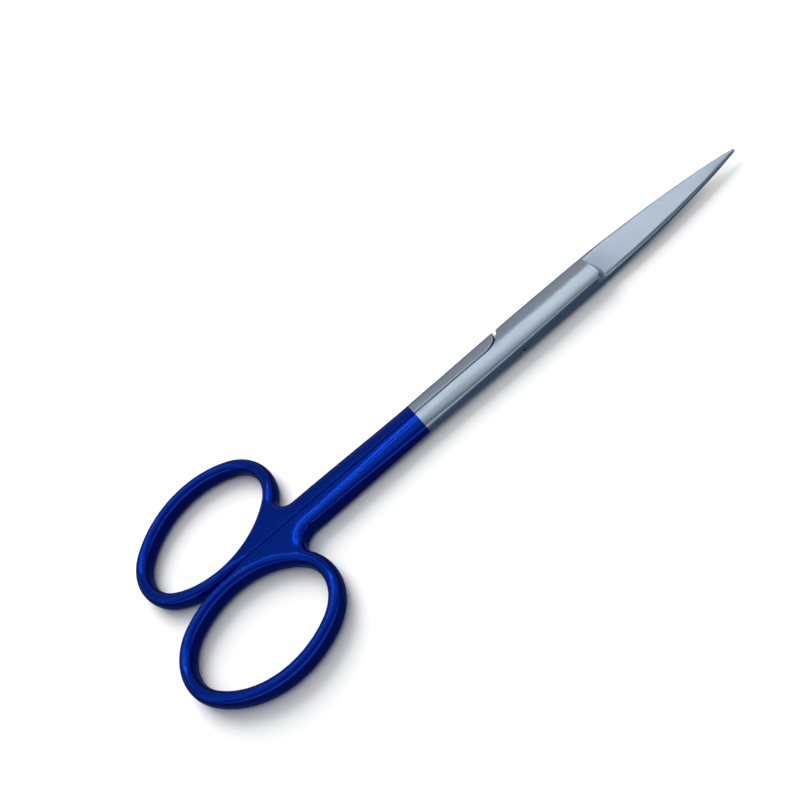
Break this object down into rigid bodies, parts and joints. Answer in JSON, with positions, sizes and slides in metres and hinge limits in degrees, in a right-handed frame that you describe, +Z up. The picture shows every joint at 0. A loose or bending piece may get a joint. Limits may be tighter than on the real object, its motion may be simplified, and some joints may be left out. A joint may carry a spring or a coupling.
{
  "type": "iris scissors",
  "caption": "Slim surgical scissors with oval finger rings, a lap joint held by a slotted screw, and short straight pointed blades.",
  "frame": {"origin": "centre of the bounding box, on the surface that the closed pair lies on", "axes": "+X from the finger rings towards the tips, +Z up through the joint screw, +Y towards the ring of the lower half"},
  "size_m": [0.1148, 0.043, 0.0035],
  "materials": {
    "half_steel": "satin steel, with a glossy deep blue coat on the rings and the rear of the shanks",
    "screw_steel": "fine turned steel"
  },
  "bodies": {
    "lower": {"lower_half": "half_steel"},
    "upper": {"upper_half": "half_steel", "pivot_screw": "screw_steel"}
  },
  "joints": [
    {"name": "pivot", "type": "hinge", "parent": "lower", "child": "upper", "pos_m": [0.01945, 0, 0.00175], "axis": [0, 0, 1], "range_deg": [0, 90]}
  ]
}
